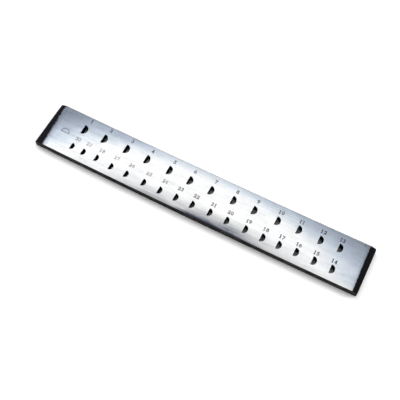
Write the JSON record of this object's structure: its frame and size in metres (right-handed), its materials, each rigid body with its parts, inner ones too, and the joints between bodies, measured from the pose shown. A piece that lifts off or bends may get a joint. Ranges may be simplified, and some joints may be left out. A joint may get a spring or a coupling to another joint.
{
  "type": "half-round wire draw plate",
  "caption": "Flat hardened steel draw plate with rows of numbered, tapered half-round holes, for pulling wire down to a half-round section.",
  "frame": {"origin": "middle of the back face, which is z = 0", "axes": "+X along the bar from hole 1 towards hole 13; +Y across it from the near row, holes 14 to 30, to the far row, holes 1 to 13; +Z out of the numbered front face"},
  "size_m": [0.24, 0.0358, 0.0055],
  "materials": {
    "tool_steel": "face ground bright along its length; sides, ends and holes left black from hardening"
  },
  "bodies": {
    "root": {"draw_plate": "tool_steel"}
  },
  "joints": []
}
